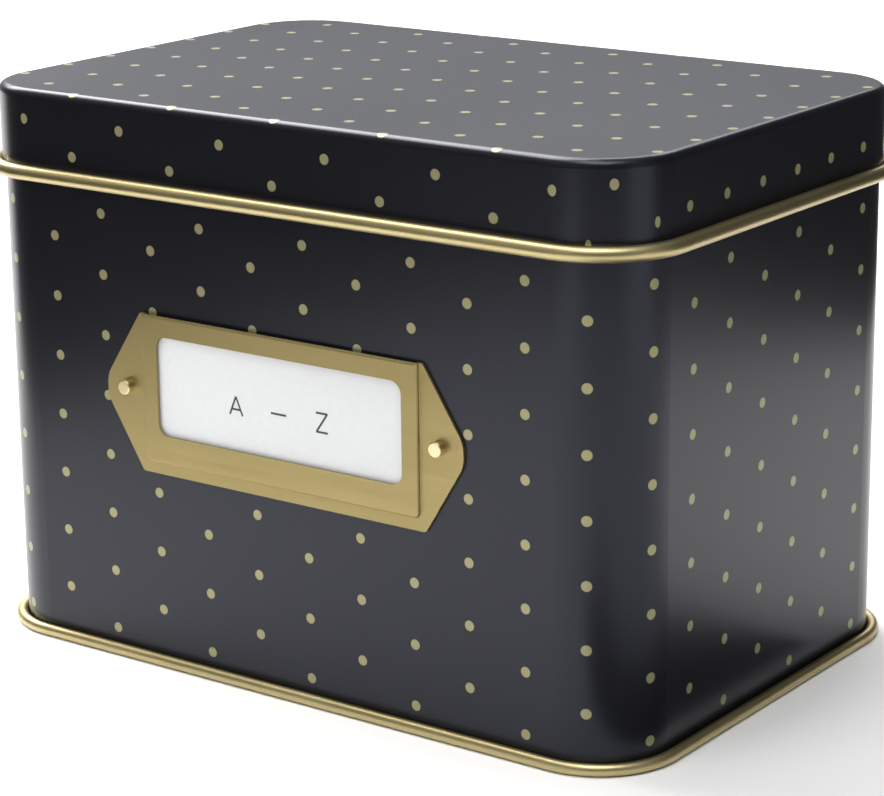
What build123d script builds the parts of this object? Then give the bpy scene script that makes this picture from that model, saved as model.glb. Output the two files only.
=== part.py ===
from build123d import *
import math
import os

os.makedirs("parts", exist_ok=True)

# A lidded card tin: seamed bottom, one-piece wall with a stepped-in neck, drawn
# lid with a hollow curl, two strap hinges on the back and a label holder in front.
# Millimetres, +Z up, front face at -Y, origin at the middle of the footprint.

# ---- driving dimensions ----
W = 166.0            # body outer width (X)
D = 111.0            # body outer depth (Y)
R = 16.0             # body corner radius
H = 122.0            # overall height with the lid closed
T = 0.3              # sheet thickness

# wall, neck and rim
step_z0 = 102.5      # where the wall starts to step inward
step_z1 = 105.0      # where the neck starts
neck_in = 1.9        # how far the neck stands inside the wall
rim_r = 0.95         # centre-line radius of the rolled rim
rim_z = 120.3        # height of the rolled rim's centre
flange_z = 1.05      # centre-line height of the bottom flange
flange_out = 1.8     # reach of the bottom flange

# bottom
panel_z = 2.35       # centre-line height of the recessed panel
ring_r = 1.15        # centre-line radius of the bottom seam
ring_s = 1.4         # seam centre, outward of the wall face
ring_z = 1.3

# lid
lid_out = 0.75       # lid outer face, outward of the wall face
lid_fillet = 1.8     # outer radius along the top edge
curl_r = 1.45        # centre-line radius of the hollow curl
curl_z = 104.4       # height of the curl's centre
curl_s = lid_out - T / 2 + curl_r

# hinge
hinge_x = 45.0       # hinge middles, left and right
strap_w = 24.0
notch_w = 25.0
notch_top = 107.0
pin_d = 2.5
pin_len = 40.0
slot_z = 101.55      # middle of the strap's slot in the back wall
slot_h = 0.9
leaf_t = 0.6         # folded strap, two layers
leaf_bottom = 92.0
hinge_y = D / 2 + curl_s

# lock seam down the middle of the back
seam_half = 3.0
seam_t = 0.6
groove_d = 0.15

# label holder
frame_top = 77.8
frame_bottom = 43.2
frame_half_top = 36.6
frame_half_bottom = 37.0
tip_half = 46.3
tip_z = 60.6
tip_flat = 4.6
ear_t = 0.6
raised_half = 35.8
raised_bottom = 45.9
raised_t = 1.4
pocket_t = 0.8
pocket_half = 35.1
pocket_bottom = 46.6
window_half = 31.85
window_z0, window_z1 = 52.0, 73.5
window_r = 2.7
card_half = 34.7
card_z0, card_z1 = 46.8, 77.3
card_t = 0.3
card_gap = 0.15
rivet_x = 40.5
rivet_z = 61.25
rivet_d = 3.2
rivet_out = 2.3
shank_d = 1.8
rivet_hole_d = 2.0
tail_d = 3.4
tail_t = 0.6

front = Plane(origin=(0, -D / 2, 0), x_dir=(1, 0, 0), z_dir=(0, -1, 0))
profile = Plane(origin=(0, -D / 2, 0), x_dir=(0, -1, 0), z_dir=(-1, 0, 0))
back_profile = Plane(origin=(0, D / 2, 0), x_dir=(0, 1, 0), z_dir=(1, 0, 0))


def on_circle(s, z, r, degrees):
    a = math.radians(degrees)
    return (s + r * math.cos(a), z + r * math.sin(a))


# the plan outline that every wall section follows, once round from mid-front
hx, hy = W / 2 - R, D / 2 - R
k = R * (1 - math.sqrt(0.5))
with BuildLine(Plane.XY) as outline:
    Line((0, -D / 2), (-hx, -D / 2))
    ThreePointArc((-hx, -D / 2), (-W / 2 + k, -D / 2 + k), (-W / 2, -hy))
    Line((-W / 2, -hy), (-W / 2, hy))
    ThreePointArc((-W / 2, hy), (-W / 2 + k, D / 2 - k), (-hx, D / 2))
    Line((-hx, D / 2), (hx, D / 2))
    ThreePointArc((hx, D / 2), (W / 2 - k, D / 2 - k), (W / 2, hy))
    Line((W / 2, hy), (W / 2, -hy))
    ThreePointArc((W / 2, -hy), (W / 2 - k, -D / 2 + k), (hx, -D / 2))
    Line((hx, -D / 2), (0, -D / 2))

# S-bend of the neck: two equal arcs that meet tangentially
step_h = step_z1 - step_z0
step_r = (neck_in**2 + step_h**2) / (4 * neck_in)
step_a = math.degrees(math.asin(step_h / 2 / step_r))
wall_c = -T / 2
neck_c = wall_c - neck_in
rim_s = neck_c - rim_r
half = T / 2

# ---- wall: flange, wall, stepped neck and rolled rim in one sheet ----
with BuildPart() as body_wall:
    with BuildSketch(profile):
        with BuildLine():
            bend = 0.4
            b_s, b_z = wall_c + bend, flange_z + bend
            # outer side, from the flange tip up to the rim
            Line((flange_out, flange_z + half), (b_s, flange_z + half))
            ThreePointArc(
                (b_s, flange_z + half),
                on_circle(b_s, b_z, bend - half, 225),
                (0, b_z),
            )
            Line((0, b_z), (0, step_z0))
            ThreePointArc(
                (0, step_z0),
                on_circle(wall_c - step_r, step_z0, step_r + half, step_a / 2),
                on_circle(wall_c - step_r, step_z0, step_r + half, step_a),
            )
            ThreePointArc(
                on_circle(neck_c + step_r, step_z1, step_r - half, 180 + step_a),
                on_circle(neck_c + step_r, step_z1, step_r - half, 180 + step_a / 2),
                (neck_c + half, step_z1),
            )
            Line((neck_c + half, step_z1), (neck_c + half, rim_z))
            ThreePointArc(
                (neck_c + half, rim_z),
                on_circle(rim_s, rim_z, rim_r + half, 150),
                on_circle(rim_s, rim_z, rim_r + half, 300),
            )
            Line(
                on_circle(rim_s, rim_z, rim_r + half, 300),
                on_circle(rim_s, rim_z, rim_r - half, 300),
            )
            # inner side, back down to the flange
            ThreePointArc(
                on_circle(rim_s, rim_z, rim_r - half, 300),
                on_circle(rim_s, rim_z, rim_r - half, 150),
                (neck_c - half, rim_z),
            )
            Line((neck_c - half, rim_z), (neck_c - half, step_z1))
            ThreePointArc(
                (neck_c - half, step_z1),
                on_circle(neck_c + step_r, step_z1, step_r + half, 180 + step_a / 2),
                on_circle(neck_c + step_r, step_z1, step_r + half, 180 + step_a),
            )
            ThreePointArc(
                on_circle(wall_c - step_r, step_z0, step_r - half, step_a),
                on_circle(wall_c - step_r, step_z0, step_r - half, step_a / 2),
                (-T, step_z0),
            )
            Line((-T, step_z0), (-T, b_z))
            ThreePointArc(
                (-T, b_z),
                on_circle(b_s, b_z, bend + half, 225),
                (b_s, flange_z - half),
            )
            Line((b_s, flange_z - half), (flange_out, flange_z - half))
            Line((flange_out, flange_z - half), (flange_out, flange_z + half))
        make_face()
    sweep(path=outline.line)
    # folded lock seam inside the back, with its line pressed into the outside
    with BuildSketch(Plane.XY.offset(4)):
        with Locations((0, D / 2 - T - seam_t / 2)):
            Rectangle(2 * seam_half, seam_t)
    extrude(amount=step_z0 - 6)
    with BuildSketch(Plane.XY.offset(3)):
        with Locations((seam_half, D / 2)):
            Rectangle(0.3, 2 * groove_d)
    extrude(amount=step_z0 - 3, mode=Mode.SUBTRACT)
    # slots for the hinge straps
    with Locations((-hinge_x, D / 2, slot_z), (hinge_x, D / 2, slot_z)):
        Box(strap_w + 0.6, 3, slot_h, mode=Mode.SUBTRACT)
    # holes for the label holder's rivets
    with BuildSketch(front.offset(1)):
        with Locations((-rivet_x, rivet_z), (rivet_x, rivet_z)):
            Circle(rivet_hole_d / 2)
    extrude(amount=-2, mode=Mode.SUBTRACT)
body_wall.part.label = "body_wall"

# ---- bottom: recessed panel, chuck wall and the ring that wraps the flange ----
chuck_c = -0.5
with BuildPart() as bottom_plate:
    with BuildSketch(profile):
        with BuildLine():
            r1 = 0.4
            in_s = -4.0
            lip = 150
            # underside, from the panel out and round the ring
            Line((in_s, panel_z - half), (chuck_c - r1, panel_z - half))
            ThreePointArc(
                (chuck_c - r1, panel_z - half),
                on_circle(chuck_c - r1, panel_z - r1, r1 - half, 45),
                (chuck_c - half, panel_z - r1),
            )
            Line((chuck_c - half, panel_z - r1), (chuck_c - half, half + r1))
            ThreePointArc(
                (chuck_c - half, half + r1),
                on_circle(chuck_c + r1, half + r1, r1 + half, 225),
                (chuck_c + r1, 0),
            )
            Line((chuck_c + r1, 0), (ring_s, 0))
            ThreePointArc(
                (ring_s, 0),
                on_circle(ring_s, ring_z, ring_r + half, (lip - 90) / 2),
                on_circle(ring_s, ring_z, ring_r + half, lip),
            )
            Line(
                on_circle(ring_s, ring_z, ring_r + half, lip),
                on_circle(ring_s, ring_z, ring_r - half, lip),
            )
            ThreePointArc(
                on_circle(ring_s, ring_z, ring_r - half, lip),
                on_circle(ring_s, ring_z, ring_r - half, (lip - 90) / 2),
                (ring_s, T),
            )
            Line((ring_s, T), (chuck_c + r1, T))
            ThreePointArc(
                (chuck_c + r1, T),
                on_circle(chuck_c + r1, half + r1, r1 - half, 225),
                (chuck_c + half, half + r1),
            )
            Line((chuck_c + half, half + r1), (chuck_c + half, panel_z - r1))
            ThreePointArc(
                (chuck_c + half, panel_z - r1),
                on_circle(chuck_c - r1, panel_z - r1, r1 + half, 45),
                (chuck_c - r1, panel_z + half),
            )
            Line((chuck_c - r1, panel_z + half), (in_s, panel_z + half))
            Line((in_s, panel_z + half), (in_s, panel_z - half))
        make_face()
    sweep(path=outline.line)
    with BuildSketch(Plane.XY.offset(panel_z - half)):
        RectangleRounded(W + 2 * in_s, D + 2 * in_s, R + in_s)
    extrude(amount=T)
bottom_plate.part.label = "bottom_plate"

# ---- lid: drawn pan whose skirt ends in an outward hollow curl ----
with BuildPart() as lid_shell:
    with BuildSketch(profile):
        with BuildLine():
            top_c = H - T / 2
            f_c = lid_fillet - half
            f_s, f_z = lid_out - lid_fillet, H - lid_fillet
            sk = lid_out - half
            t_s = -5.0
            end = 140
            # outside, from the top over the edge, down the skirt and round the curl
            Line((t_s, H), (f_s, H))
            ThreePointArc((f_s, H), on_circle(f_s, f_z, lid_fillet, 45), (lid_out, f_z))
            Line((lid_out, f_z), (lid_out, curl_z))
            ThreePointArc(
                (lid_out, curl_z),
                on_circle(curl_s, curl_z, curl_r - half, -20),
                on_circle(curl_s, curl_z, curl_r - half, end),
            )
            Line(
                on_circle(curl_s, curl_z, curl_r - half, end),
                on_circle(curl_s, curl_z, curl_r + half, end),
            )
            ThreePointArc(
                on_circle(curl_s, curl_z, curl_r + half, end),
                on_circle(curl_s, curl_z, curl_r + half, -20),
                (lid_out - T, curl_z),
            )
            Line((lid_out - T, curl_z), (lid_out - T, f_z))
            ThreePointArc(
                (lid_out - T, f_z),
                on_circle(f_s, f_z, lid_fillet - T, 45),
                (f_s, H - T),
            )
            Line((f_s, H - T), (t_s, H - T))
            Line((t_s, H - T), (t_s, H))
        make_face()
    sweep(path=outline.line)
    with BuildSketch(Plane.XY.offset(H - T)):
        RectangleRounded(W + 2 * t_s, D + 2 * t_s, R + t_s)
    extrude(amount=T)
    # notches in the back curl that leave room for the hinge straps
    with Locations(
        (-hinge_x, D / 2 + 2, notch_top - 3), (hinge_x, D / 2 + 2, notch_top - 3)
    ):
        Box(notch_w, 6, 6, mode=Mode.SUBTRACT)
lid_shell.part.label = "lid_shell"

# ---- hinge straps: a loop round the pin, folded legs through the wall's slot ----
leg_s, leg_z = curl_s, curl_z
aim_s, aim_z = -T - leaf_t / 2, slot_z
leg_a = math.degrees(math.atan2(slot_z - curl_z, 0 - curl_s))

with BuildPart() as hinge_strap_left:
    with BuildSketch(back_profile.offset(-hinge_x - strap_w / 2)):
        with Locations((curl_s, curl_z)):
            Circle(curl_r + half)
        with BuildLine():
            Polyline(
                (0.55, slot_z + leaf_t / 2),
                (curl_s - 1.0, curl_z - 0.7),
                (curl_s - 0.2, curl_z - 1.45),
                (0.95, slot_z - leaf_t / 2),
                (-T - leaf_t, slot_z - leaf_t / 2),
                (-T - leaf_t, slot_z + leaf_t / 2),
                close=True,
            )
        make_face()
        with Locations((-T - leaf_t / 2, (slot_z + leaf_t / 2 + leaf_bottom) / 2)):
            Rectangle(leaf_t, slot_z + leaf_t / 2 - leaf_bottom)
        with Locations((curl_s, curl_z)):
            Circle(curl_r - half, mode=Mode.SUBTRACT)
    extrude(amount=strap_w)
hinge_strap_left.part.label = "hinge_strap_left"

with BuildPart() as hinge_strap_right:
    with BuildSketch(back_profile.offset(hinge_x - strap_w / 2)):
        with Locations((curl_s, curl_z)):
            Circle(curl_r + half)
        with BuildLine():
            Polyline(
                (0.55, slot_z + leaf_t / 2),
                (curl_s - 1.0, curl_z - 0.7),
                (curl_s - 0.2, curl_z - 1.45),
                (0.95, slot_z - leaf_t / 2),
                (-T - leaf_t, slot_z - leaf_t / 2),
                (-T - leaf_t, slot_z + leaf_t / 2),
                close=True,
            )
        make_face()
        with Locations((-T - leaf_t / 2, (slot_z + leaf_t / 2 + leaf_bottom) / 2)):
            Rectangle(leaf_t, slot_z + leaf_t / 2 - leaf_bottom)
        with Locations((curl_s, curl_z)):
            Circle(curl_r - half, mode=Mode.SUBTRACT)
    extrude(amount=strap_w)
hinge_strap_right.part.label = "hinge_strap_right"

# ---- hinge pins: plain wires through the straps and the lid's curl ----
with BuildPart() as hinge_pin_left:
    with BuildSketch(back_profile.offset(-hinge_x - pin_len / 2)):
        with Locations((curl_s, curl_z)):
            Circle(pin_d / 2)
    extrude(amount=pin_len)
    chamfer(hinge_pin_left.edges().filter_by(GeomType.CIRCLE), length=0.25)
hinge_pin_left.part.label = "hinge_pin_left"

with BuildPart() as hinge_pin_right:
    with BuildSketch(back_profile.offset(hinge_x - pin_len / 2)):
        with Locations((curl_s, curl_z)):
            Circle(pin_d / 2)
    extrude(amount=pin_len)
    chamfer(hinge_pin_right.edges().filter_by(GeomType.CIRCLE), length=0.25)
hinge_pin_right.part.label = "hinge_pin_right"

# ---- label holder: flat plate with pointed ears and a raised, open-topped frame ----
with BuildPart() as label_frame:
    with BuildSketch(front) as frame_plan:
        with BuildLine():
            Polyline(
                (-frame_half_top, frame_top),
                (frame_half_top, frame_top),
                (tip_half, tip_z + tip_flat / 2),
                (tip_half, tip_z - tip_flat / 2),
                (frame_half_bottom, frame_bottom),
                (-frame_half_bottom, frame_bottom),
                (-tip_half, tip_z - tip_flat / 2),
                (-tip_half, tip_z + tip_flat / 2),
                close=True,
            )
        make_face()
        corners = frame_plan.vertices().group_by(Axis.X)
        fillet(corners[0] + corners[-1], radius=6.0)
        fillet(
            frame_plan.vertices().filter_by(
                lambda v: abs(v.Y - frame_top) < 0.01
                or abs(v.Y - frame_bottom) < 0.01
            ),
            radius=0.8,
        )
    extrude(amount=ear_t)
    with BuildSketch(front):
        with Locations((0, (raised_bottom + frame_top) / 2)):
            Rectangle(2 * raised_half, frame_top - raised_bottom)
    extrude(amount=raised_t)
    # rounded lower corners of the raised field
    fillet(
        label_frame.edges()
        .filter_by(Axis.Y)
        .filter_by(
            lambda e: abs(e.center().Z - raised_bottom) < 0.01
            and abs(abs(e.center().X) - raised_half) < 0.01
        ),
        radius=1.3,
    )
    # soften the raised field's long edges
    step_edges = (
        label_frame.faces()
        .sort_by(Axis.Y)[0]
        .edges()
    )
    fillet(step_edges, radius=0.5)
    # soft foot where the raised field leaves the plate
    foot_edges = label_frame.edges().filter_by(
        lambda e: abs(e.center().Y + D / 2 + ear_t) < 0.01
        and abs(e.center().X) < raised_half + 0.01
        and raised_bottom - 0.01 < e.center().Z < frame_top - 0.01
    )
    fillet(foot_edges, radius=0.25)
    # pocket for the card, open at the top
    with BuildSketch(front):
        with Locations((0, (pocket_bottom + frame_top + 2) / 2)):
            Rectangle(2 * pocket_half, frame_top + 2 - pocket_bottom)
    extrude(amount=pocket_t, mode=Mode.SUBTRACT)
    # window
    with BuildSketch(front):
        with Locations((0, (window_z0 + window_z1) / 2)):
            RectangleRounded(2 * window_half, window_z1 - window_z0, window_r)
    extrude(amount=raised_t + 1, mode=Mode.SUBTRACT)
    # rivet holes in the ears
    with BuildSketch(front):
        with Locations((-rivet_x, rivet_z), (rivet_x, rivet_z)):
            Circle(rivet_hole_d / 2)
    extrude(amount=raised_t + 1, mode=Mode.SUBTRACT)
label_frame.part.label = "label_frame"

# ---- label card: lies loose in the pocket and slides out at the top ----
with BuildPart() as label_card:
    with BuildSketch(front.offset(card_gap)):
        with Locations((0, (card_z0 + card_z1) / 2)):
            RectangleRounded(2 * card_half, card_z1 - card_z0, 0.8)
    extrude(amount=card_t)
label_card.part.label = "label_card"

# ---- rivets that hold the label holder to the wall ----
with BuildPart() as label_rivet_left:
    with BuildSketch(front.offset(ear_t)):
        with Locations((-rivet_x, rivet_z)):
            Circle(rivet_d / 2)
    extrude(amount=rivet_out - ear_t)
    fillet(
        label_rivet_left.faces().sort_by(Axis.Y)[0].edges(),
        radius=0.28,
    )
    with BuildSketch(front.offset(ear_t)):
        with Locations((-rivet_x, rivet_z)):
            Circle(shank_d / 2)
    extrude(amount=-(ear_t + T))
    with BuildSketch(front.offset(-T)):
        with Locations((-rivet_x, rivet_z)):
            Circle(tail_d / 2)
    extrude(amount=-tail_t)
label_rivet_left.part.label = "label_rivet_left"

with BuildPart() as label_rivet_right:
    with BuildSketch(front.offset(ear_t)):
        with Locations((rivet_x, rivet_z)):
            Circle(rivet_d / 2)
    extrude(amount=rivet_out - ear_t)
    fillet(
        label_rivet_right.faces().sort_by(Axis.Y)[0].edges(),
        radius=0.28,
    )
    with BuildSketch(front.offset(ear_t)):
        with Locations((rivet_x, rivet_z)):
            Circle(shank_d / 2)
    extrude(amount=-(ear_t + T))
    with BuildSketch(front.offset(-T)):
        with Locations((rivet_x, rivet_z)):
            Circle(tail_d / 2)
    extrude(amount=-tail_t)
label_rivet_right.part.label = "label_rivet_right"

export_step(body_wall.part, "parts/body_wall.step")
export_step(bottom_plate.part, "parts/bottom_plate.step")
export_step(lid_shell.part, "parts/lid_shell.step")
export_step(hinge_strap_left.part, "parts/hinge_strap_left.step")
export_step(hinge_strap_right.part, "parts/hinge_strap_right.step")
export_step(hinge_pin_left.part, "parts/hinge_pin_left.step")
export_step(hinge_pin_right.part, "parts/hinge_pin_right.step")
export_step(label_frame.part, "parts/label_frame.step")
export_step(label_card.part, "parts/label_card.step")
export_step(label_rivet_left.part, "parts/label_rivet_left.step")
export_step(label_rivet_right.part, "parts/label_rivet_right.step")
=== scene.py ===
import math

import bpy
from mathutils import Matrix, Vector


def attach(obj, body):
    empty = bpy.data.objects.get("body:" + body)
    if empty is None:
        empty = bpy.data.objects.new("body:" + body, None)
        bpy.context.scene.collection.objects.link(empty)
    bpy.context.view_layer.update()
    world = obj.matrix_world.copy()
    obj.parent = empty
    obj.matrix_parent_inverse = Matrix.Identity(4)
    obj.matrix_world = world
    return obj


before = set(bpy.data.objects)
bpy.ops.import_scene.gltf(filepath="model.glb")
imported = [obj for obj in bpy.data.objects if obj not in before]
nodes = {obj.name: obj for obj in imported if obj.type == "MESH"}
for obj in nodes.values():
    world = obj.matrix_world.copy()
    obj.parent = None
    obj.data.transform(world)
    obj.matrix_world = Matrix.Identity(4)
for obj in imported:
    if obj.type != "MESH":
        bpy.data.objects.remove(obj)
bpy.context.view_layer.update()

# Driving sizes, in millimetres, as the solids have them
W, D, R, H = 166.0, 111.0, 16.0, 122.0
HX, HY = W / 2 - R, D / 2 - R
DOT_R = 1.09


# ---------------------------------------------------------------- shader helpers
class Tree:
    """A small wrapper that adds nodes to a material's tree."""

    def __init__(self, name):
        self.mat = bpy.data.materials.new(name)
        self.mat.use_nodes = True
        self.nt = self.mat.node_tree
        self.nt.nodes.clear()
        self.out = self.nt.nodes.new("ShaderNodeOutputMaterial")
        self.bsdf = self.nt.nodes.new("ShaderNodeBsdfPrincipled")
        self.nt.links.new(self.bsdf.outputs[0], self.out.inputs["Surface"])
        self.coord = self.nt.nodes.new("ShaderNodeTexCoord").outputs["Object"]

    def put(self, socket, value):
        if isinstance(value, bpy.types.NodeSocket):
            self.nt.links.new(value, socket)
        else:
            socket.default_value = value

    def m(self, op, a, b=0.0, c=0.0):
        n = self.nt.nodes.new("ShaderNodeMath")
        n.operation = op
        self.put(n.inputs[0], a)
        self.put(n.inputs[1], b)
        self.put(n.inputs[2], c)
        return n.outputs[0]

    def clamp(self, v, lo, hi):
        return self.m("MINIMUM", self.m("MAXIMUM", v, lo), hi)

    def over(self, v, edge):
        return self.m("GREATER_THAN", v, edge)

    def under(self, v, edge):
        return self.m("LESS_THAN", v, edge)

    def mul(self, a, b):
        return self.m("MULTIPLY", a, b)

    def add(self, a, b):
        return self.m("ADD", a, b)

    def sub(self, a, b):
        return self.m("SUBTRACT", a, b)

    def hyp(self, a, b):
        return self.m("SQRT", self.add(self.mul(a, a), self.mul(b, b)))

    def xyz_mm(self):
        s = self.nt.nodes.new("ShaderNodeSeparateXYZ")
        v = self.nt.nodes.new("ShaderNodeVectorMath")
        v.operation = "SCALE"
        self.put(v.inputs[0], self.coord)
        v.inputs["Scale"].default_value = 1000.0
        self.put(s.inputs[0], v.outputs[0])
        return s.outputs[0], s.outputs[1], s.outputs[2]

    def mix(self, fac, a, b):
        """Colours a and b mixed by fac."""
        n = self.nt.nodes.new("ShaderNodeMix")
        n.data_type = "RGBA"
        self.put(n.inputs[0], fac)
        self.put(n.inputs[6], a)
        self.put(n.inputs[7], b)
        return n.outputs[2]

    def lerp(self, fac, a, b):
        """Numbers a and b mixed by fac."""
        return self.add(self.mul(fac, self.sub(b, a)), a)

    def noise(self, scale, detail=2.0, rough=0.5, stretch=None):
        n = self.nt.nodes.new("ShaderNodeTexNoise")
        n.inputs["Scale"].default_value = scale
        n.inputs["Detail"].default_value = detail
        n.inputs["Roughness"].default_value = rough
        v = self.coord
        if stretch:
            k = self.nt.nodes.new("ShaderNodeVectorMath")
            k.operation = "MULTIPLY"
            self.put(k.inputs[0], v)
            k.inputs[1].default_value = stretch
            v = k.outputs[0]
        self.put(n.inputs["Vector"], v)
        return n.outputs[0]

    def bump(self, height, strength, distance):
        n = self.nt.nodes.new("ShaderNodeBump")
        n.inputs["Strength"].default_value = strength
        n.inputs["Distance"].default_value = distance
        self.put(n.inputs["Height"], height)
        self.put(self.bsdf.inputs["Normal"], n.outputs[0])

    def span(self, v, lo, hi, to_lo, to_hi):
        n = self.nt.nodes.new("ShaderNodeMapRange")
        self.put(n.inputs[0], v)
        for i, x in enumerate((lo, hi, to_lo, to_hi)):
            n.inputs[i + 1].default_value = x
        return n.outputs[0]

    def dots(self, u, v, first, second, pitch_u, pitch_v, radius):
        """1 inside a dot of two staggered grids. first and second are one dot of each grid."""
        best = None
        for cu, cv in (first, second):
            a = self.m("PINGPONG", self.sub(u, cu), pitch_u / 2)
            b = self.m("PINGPONG", self.sub(v, cv), pitch_v / 2)
            d = self.hyp(a, b)
            best = d if best is None else self.m("MINIMUM", best, d)
        return self.span(best, radius - 0.06, radius + 0.06, 1.0, 0.0)


BLACK = (0.0050, 0.0052, 0.0068, 1)
BLACK_2 = (0.0070, 0.0072, 0.0092, 1)
INK = (0.255, 0.240, 0.122, 1)
INK_2 = (0.320, 0.303, 0.158, 1)
GOLD = (0.480, 0.402, 0.205, 1)
GOLD_2 = (0.545, 0.462, 0.245, 1)


def lacquer(t, printed, dot):
    """Black satin lacquer with gold ink dots where printed is 1, gold lacquer elsewhere."""
    wide = t.noise(9.0, 3.0)
    fine = t.noise(2600.0, 2.0, 0.6)
    black = t.mix(wide, BLACK, BLACK_2)
    ink = t.mix(fine, INK, INK_2)
    face = t.mix(dot, black, ink)
    gold = t.mix(wide, GOLD, GOLD_2)
    t.put(t.bsdf.inputs["Base Color"], t.mix(printed, gold, face))
    metal = t.lerp(printed, 1.0, t.mul(dot, 0.45))
    t.put(t.bsdf.inputs["Metallic"], metal)
    satin = t.span(wide, 0.3, 0.7, 0.27, 0.31)
    rough = t.lerp(dot, satin, 0.34)
    inside = t.span(wide, 0.3, 0.7, 0.38, 0.45)
    t.put(t.bsdf.inputs["Roughness"], t.lerp(printed, inside, rough))
    t.bsdf.inputs["Specular IOR Level"].default_value = 0.40
    t.bsdf.inputs["Specular Tint"].default_value = (0.78, 0.82, 1.0, 1)
    t.bump(t.add(t.mul(fine, 0.35), t.noise(160.0, 1.0)), 0.05, 0.0002)
    return t.mat


def plan_distance(t, x, y):
    """How far outward of the wall's face a point stands, and where its foot is on the plan."""
    qx = t.clamp(x, -HX, HX)
    qy = t.clamp(y, -HY, HY)
    dx, dy = t.sub(x, qx), t.sub(y, qy)
    r = t.hyp(dx, dy)
    return qx, qy, dx, dy, r


def wall_material():
    t = Tree("wall_lacquer")
    x, y, z = t.xyz_mm()
    ax = t.m("ABSOLUTE", x)
    qx = t.m("MINIMUM", ax, HX)
    qy = t.clamp(y, -HY, HY)
    dx, dy = t.sub(ax, qx), t.sub(y, qy)
    r = t.hyp(dx, dy)
    s = t.sub(r, R)
    # distance round the wall from mid-front, + to the right
    ang = t.add(t.m("ARCTAN2", dy, dx), math.pi / 2)
    behind = t.over(y, 0.0)
    run = t.lerp(behind, qx, t.sub(2 * HX, qx))
    u = t.add(t.add(t.mul(ang, R), t.add(qy, HY)), run)
    u = t.mul(u, t.m("SIGN", t.add(x, 1e-5)))
    outside = t.mul(t.over(s, -0.22), t.mul(t.under(z, 103.0), t.over(z, 1.0)))
    dot = t.dots(u, z, (6.713, 97.5), (-6.713, 91.2), 26.852, 13.144, DOT_R)
    return lacquer(t, outside, dot)


def lid_material():
    t = Tree("lid_lacquer")
    x, y, z = t.xyz_mm()
    qx, qy, dx, dy, r = plan_distance(t, x, y)
    s = t.sub(r, R)
    # the sheet was printed flat and then drawn, so the print follows the unrolled blank
    flat = R + 0.75 - 1.8
    over_r = t.m("MAXIMUM", t.sub(r, flat), 0.0)
    over_z = t.m("MAXIMUM", t.sub(z, 120.2), 1e-6)
    fold = t.m("ARCTAN2", over_r, over_z)
    rho = t.add(
        t.add(t.m("MINIMUM", r, flat), t.mul(fold, 1.8)),
        t.m("MAXIMUM", t.sub(120.2, z), 0.0),
    )
    safe = t.m("MAXIMUM", r, 1e-4)
    a = t.add(qx, t.mul(t.m("DIVIDE", dx, safe), rho))
    b = t.add(qy, t.mul(t.m("DIVIDE", dy, safe), rho))
    e = t.hyp(t.m("MAXIMUM", t.add(s, 1.05), 0.0), over_z)
    outside = t.mul(t.over(e, 1.65), t.mul(t.under(s, 0.79), t.over(z, 104.5)))
    dot = t.dots(a, b, (0.0, 0.0), (13.45, 6.86), 26.9, 13.72, DOT_R)
    return lacquer(t, outside, dot)


def gold_material(name, low, high, rough):
    t = Tree(name)
    wide = t.noise(30.0, 3.0)
    t.put(t.bsdf.inputs["Base Color"], t.mix(wide, low, high))
    t.bsdf.inputs["Metallic"].default_value = 1.0
    t.put(t.bsdf.inputs["Roughness"], t.span(wide, 0.3, 0.7, rough - 0.03, rough + 0.04))
    t.bump(t.noise(900.0, 2.0), 0.06, 0.0001)
    return t.mat


def holder_material():
    t = Tree("holder_brass")
    grain = t.noise(420.0, 3.0, 0.6, (0.05, 1.0, 1.0))
    wide = t.noise(24.0, 3.0)
    col = t.mix(wide, (0.285, 0.228, 0.096, 1), (0.345, 0.278, 0.124, 1))
    t.put(t.bsdf.inputs["Base Color"], col)
    t.bsdf.inputs["Metallic"].default_value = 0.85
    t.put(t.bsdf.inputs["Roughness"], t.span(grain, 0.3, 0.7, 0.36, 0.46))
    t.bump(grain, 0.05, 0.0001)
    return t.mat


def steel_material():
    t = Tree("pin_steel")
    grain = t.noise(900.0, 2.0, 0.5, (0.05, 1.0, 1.0))
    t.put(
        t.bsdf.inputs["Base Color"],
        t.mix(grain, (0.52, 0.50, 0.46, 1), (0.62, 0.60, 0.56, 1)),
    )
    t.bsdf.inputs["Metallic"].default_value = 1.0
    t.put(t.bsdf.inputs["Roughness"], t.span(grain, 0.3, 0.7, 0.24, 0.36))
    return t.mat


def card_material():
    t = Tree("card_stock")
    fibre = t.noise(700.0, 4.0, 0.65)
    wide = t.noise(14.0, 2.0)
    col = t.mix(fibre, (0.600, 0.612, 0.622, 1), (0.665, 0.675, 0.684, 1))
    t.put(t.bsdf.inputs["Base Color"], col)
    t.put(t.bsdf.inputs["Roughness"], t.span(wide, 0.3, 0.7, 0.78, 0.86))
    t.bump(fibre, 0.12, 0.0001)
    return t.mat


def letter_material():
    t = Tree("letter_ink")
    n = t.noise(1200.0, 2.0)
    t.put(
        t.bsdf.inputs["Base Color"],
        t.mix(n, (0.035, 0.036, 0.040, 1), (0.060, 0.061, 0.066, 1)),
    )
    t.bsdf.inputs["Roughness"].default_value = 0.6
    return t.mat


def wear(name, mat):
    o = nodes[name]
    o.data.materials.clear()
    o.data.materials.append(mat)


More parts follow.
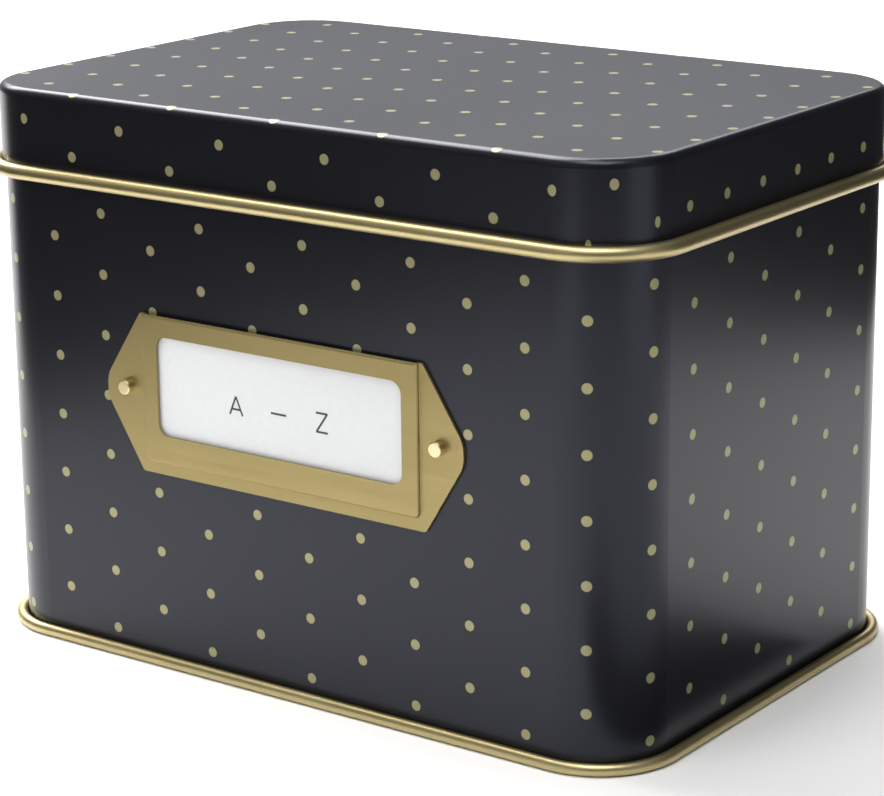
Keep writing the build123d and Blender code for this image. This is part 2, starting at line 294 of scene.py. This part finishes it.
wear("body_wall", wall_material())
wear("lid_shell", lid_material())
seam_gold = gold_material("seam_gold", GOLD, GOLD_2, 0.40)
wear("bottom_plate", seam_gold)
strap_gold = gold_material("strap_gold", (0.42, 0.345, 0.165, 1), GOLD, 0.36)
wear("hinge_strap_left", strap_gold)
wear("hinge_strap_right", strap_gold)
pin_steel = steel_material()
wear("hinge_pin_left", pin_steel)
wear("hinge_pin_right", pin_steel)
wear("label_frame", holder_material())
wear("label_card", card_material())
rivet_gold = gold_material(
    "rivet_brass", (0.66, 0.545, 0.330, 1), (0.76, 0.635, 0.400, 1), 0.30
)
wear("label_rivet_left", rivet_gold)
wear("label_rivet_right", rivet_gold)


# ---------------------------------------------------------------- letters on the card
def strokes(name, bars, y, half):
    """Flat bars (x0, z0, x1, z1) in millimetres, facing -Y, drawn with a pen of that half width."""
    verts, faces = [], []
    for x0, z0, x1, z1 in bars:
        a, b = Vector((x0, z0)), Vector((x1, z1))
        along = (b - a).normalized() * half
        side = Vector((-along.y, along.x))
        corners = [a - side, b - side, b + side, a + side]
        k = len(verts)
        verts += [(p.x / 1000, y / 1000, p.y / 1000) for p in corners]
        faces.append((k, k + 1, k + 2, k + 3))
    me = bpy.data.meshes.new(name)
    me.from_pydata(verts, [], faces)
    me.update()
    o = bpy.data.objects.new(name, me)
    bpy.context.collection.objects.link(o)
    return o


cap, base_z = 4.0, 59.5
bars = [
    # A
    (-12.9, base_z, -11.2, base_z + cap),
    (-11.2, base_z + cap, -9.5, base_z),
    (-12.3, base_z + 1.25, -10.1, base_z + 1.25),
    # dash
    (-2.0, base_z + cap / 2, 2.0, base_z + cap / 2),
    # Z
    (9.7, base_z + cap, 12.7, base_z + cap),
    (12.6, base_z + cap, 9.8, base_z),
    (9.7, base_z, 12.7, base_z),
]
letters = strokes("label_letters", bars, -D / 2 - 0.45 - 0.02, 0.23)
letters.data.materials.append(letter_material())
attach(letters, "card")


# ---------------------------------------------------------------- stage
def floor_material():
    t = Tree("floor_paint")
    n = t.noise(3.0, 3.0)
    t.put(
        t.bsdf.inputs["Base Color"],
        t.mix(n, (0.840, 0.832, 0.820, 1), (0.870, 0.864, 0.855, 1)),
    )
    t.bsdf.inputs["Roughness"].default_value = 0.75
    return t.mat


me = bpy.data.meshes.new("stage_floor")
h = 6.0
me.from_pydata([(-h, -h, 0), (h, -h, 0), (h, h, 0), (-h, h, 0)], [], [(0, 1, 2, 3)])
floor = bpy.data.objects.new("stage_floor", me)
bpy.context.collection.objects.link(floor)
me.materials.append(floor_material())

world = bpy.data.worlds.new("studio")
bpy.context.scene.world = world
world.use_nodes = True
world.node_tree.nodes["Background"].inputs[0].default_value = (0.93, 0.96, 1.0, 1)
world.node_tree.nodes["Background"].inputs[1].default_value = 0.40
bpy.context.scene.view_settings.view_transform = "Standard"


def soft_light(name, at, to, size, watts, color=(1, 1, 1)):
    data = bpy.data.lights.new(name, "AREA")
    data.shape = "RECTANGLE"
    data.size, data.size_y = size
    data.energy = watts
    data.color = color
    o = bpy.data.objects.new(name, data)
    o.location = at
    o.rotation_euler = (Vector(to) - Vector(at)).to_track_quat("-Z", "Y").to_euler()
    bpy.context.collection.objects.link(o)
    return o


soft_light("light_top", (-0.66, 0.16, 0.86), (0, 0, 0.10), (0.75, 0.90), 22, (1.0, 0.965, 0.93))
soft_light("light_back", (-0.9, 1.6, 1.3), (-0.5, 0.9, 0), (1.6, 0.8), 14)
soft_light("light_floor", (0.25, -0.45, 1.30), (0.25, -0.35, 0), (0.9, 0.7), 11)
soft_light("light_front", (-0.35, -0.95, 0.85), (0, 0, 0.04), (0.8, 0.6), 4)


def dark_reflection_card(name, at, to, size, tilt=0.0):
    """A matt black card that only reflections see: painted shade in the reflections of the lacquer
    and metal, with no real object there.
    """
    w, h = size[0] / 2, size[1] / 2
    me = bpy.data.meshes.new(name)
    me.from_pydata([(-w, -h, 0), (w, -h, 0), (w, h, 0), (-w, h, 0)], [], [(0, 1, 2, 3)])
    o = bpy.data.objects.new(name, me)
    bpy.context.collection.objects.link(o)
    o.location = at
    q = (Vector(to) - Vector(at)).to_track_quat("Z", "Y")
    o.rotation_mode = "QUATERNION"
    o.rotation_quaternion = q @ Matrix.Rotation(tilt, 3, "Z").to_quaternion()
    t = Tree(name + "_paint")
    t.bsdf.inputs["Base Color"].default_value = (0.012, 0.012, 0.013, 1)
    t.bsdf.inputs["Roughness"].default_value = 0.9
    me.materials.append(t.mat)
    o.visible_camera = False
    o.visible_diffuse = False
    o.visible_shadow = False
    o.visible_transmission = False
    return o


# Painted dark reflections: black cards that no camera, diffuse light or shadow sees. They darken
# the reflections on the front, the corner and the right side. The low one lies flat on the floor
# and paints a dark reflection into the lower right side.
dark_reflection_card("painted_dark_reflection_front", (-0.128, -0.217, 0.28), (-0.01, -0.055, 0.28), (0.62, 0.52), math.radians(-10.5))
dark_reflection_card("painted_dark_reflection_corner", (0.26, -0.30, 0.268), (0.083, -0.055, 0.268), (0.44, 0.50))
dark_reflection_card("painted_dark_reflection_low", (0.116, -0.055, 0.002), (0.116, -0.055, 1.0), (0.054, 0.17))
dark_reflection_card("painted_dark_reflection_right", (0.20, 0.15, 0.275), (0.083, -0.01, 0.275), (0.42, 0.50))

# ---------------------------------------------------------------- camera
F_PX = 2946.2
AZ, EL, ROLL = math.radians(36.099), math.radians(15.928), math.radians(-0.609)
C = Vector((0.36591, -0.50127, 0.22882))
back = Vector((math.sin(AZ) * math.cos(EL), -math.cos(AZ) * math.cos(EL), math.sin(EL)))
right = Vector((math.cos(AZ), math.sin(AZ), 0))
up = back.cross(right)
r2 = right * math.cos(ROLL) + up * math.sin(ROLL)
u2 = up * math.cos(ROLL) - right * math.sin(ROLL)
cam_data = bpy.data.cameras.new("camera")
cam_data.sensor_fit = "HORIZONTAL"
cam_data.sensor_width = 36.0
cam_data.lens = F_PX / 884 * 36.0
cam_data.clip_start, cam_data.clip_end = 0.01, 50
cam = bpy.data.objects.new("camera", cam_data)
bpy.context.collection.objects.link(cam)
cam.matrix_world = Matrix(
    (
        (r2.x, u2.x, back.x, C.x),
        (r2.y, u2.y, back.y, C.y),
        (r2.z, u2.z, back.z, C.z),
        (0, 0, 0, 1),
    )
)
bpy.context.scene.camera = cam
